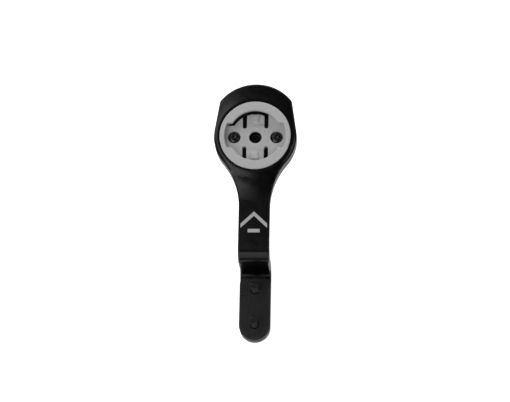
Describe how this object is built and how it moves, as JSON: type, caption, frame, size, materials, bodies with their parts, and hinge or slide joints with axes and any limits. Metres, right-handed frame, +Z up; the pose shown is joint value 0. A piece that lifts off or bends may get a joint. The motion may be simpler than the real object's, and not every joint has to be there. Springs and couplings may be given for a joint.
{
  "type": "out-front bicycle computer mount",
  "caption": "Black machined out-front mount for a bicycle computer, with a round nosed head, a grey quarter-turn twist-lock insert, and a bent arm that bolts up under a flat handlebar.",
  "frame": {"origin": "centre of the two-bolt pattern, on the rubber pad's upper face, which meets the underside of the handlebar", "axes": "+X the rider's right, +Y forward along the arm to the head, +Z up"},
  "size_m": [0.042, 0.1291, 0.0325],
  "materials": {
    "black_anodised": "satin black anodised, fine turning marks on the head",
    "grey_moulding": "light grey moulded acetal, fine texture",
    "black_oxide_steel": "black oxide, slightly oily",
    "black_nylon": "moulded, matt",
    "black_rubber": "rows of small round pips, matt",
    "stainless_washer": "stamped, plain"
  },
  "bodies": {
    "mount": {"mount_arm": "black_anodised", "twist_lock_insert": "grey_moulding", "insert_screw_left": "black_oxide_steel", "insert_screw_right": "black_oxide_steel", "foot_spacer": "black_nylon", "seat_pad": "black_rubber", "foot_bolt_front": "black_oxide_steel", "foot_bolt_rear": "black_oxide_steel", "foot_washer_front": "stainless_washer", "foot_washer_rear": "stainless_washer"},
    "front_tongue": {"detent_tongue_front": "grey_moulding"},
    "rear_tongue": {"detent_tongue_rear": "grey_moulding"}
  },
  "joints": [
    {"name": "front_tongue_flex", "type": "hinge", "parent": "mount", "child": "front_tongue", "pos_m": [0, 0.08977, 0.0187], "axis": [1, 0, 0], "range_deg": [-7, 0], "stiffness_Nm_per_rad": 0.3},
    {"name": "rear_tongue_flex", "type": "hinge", "parent": "mount", "child": "rear_tongue", "pos_m": [0, 0.07823, 0.0187], "axis": [-1, 0, 0], "range_deg": [-7, 0], "stiffness_Nm_per_rad": 0.3}
  ]
}
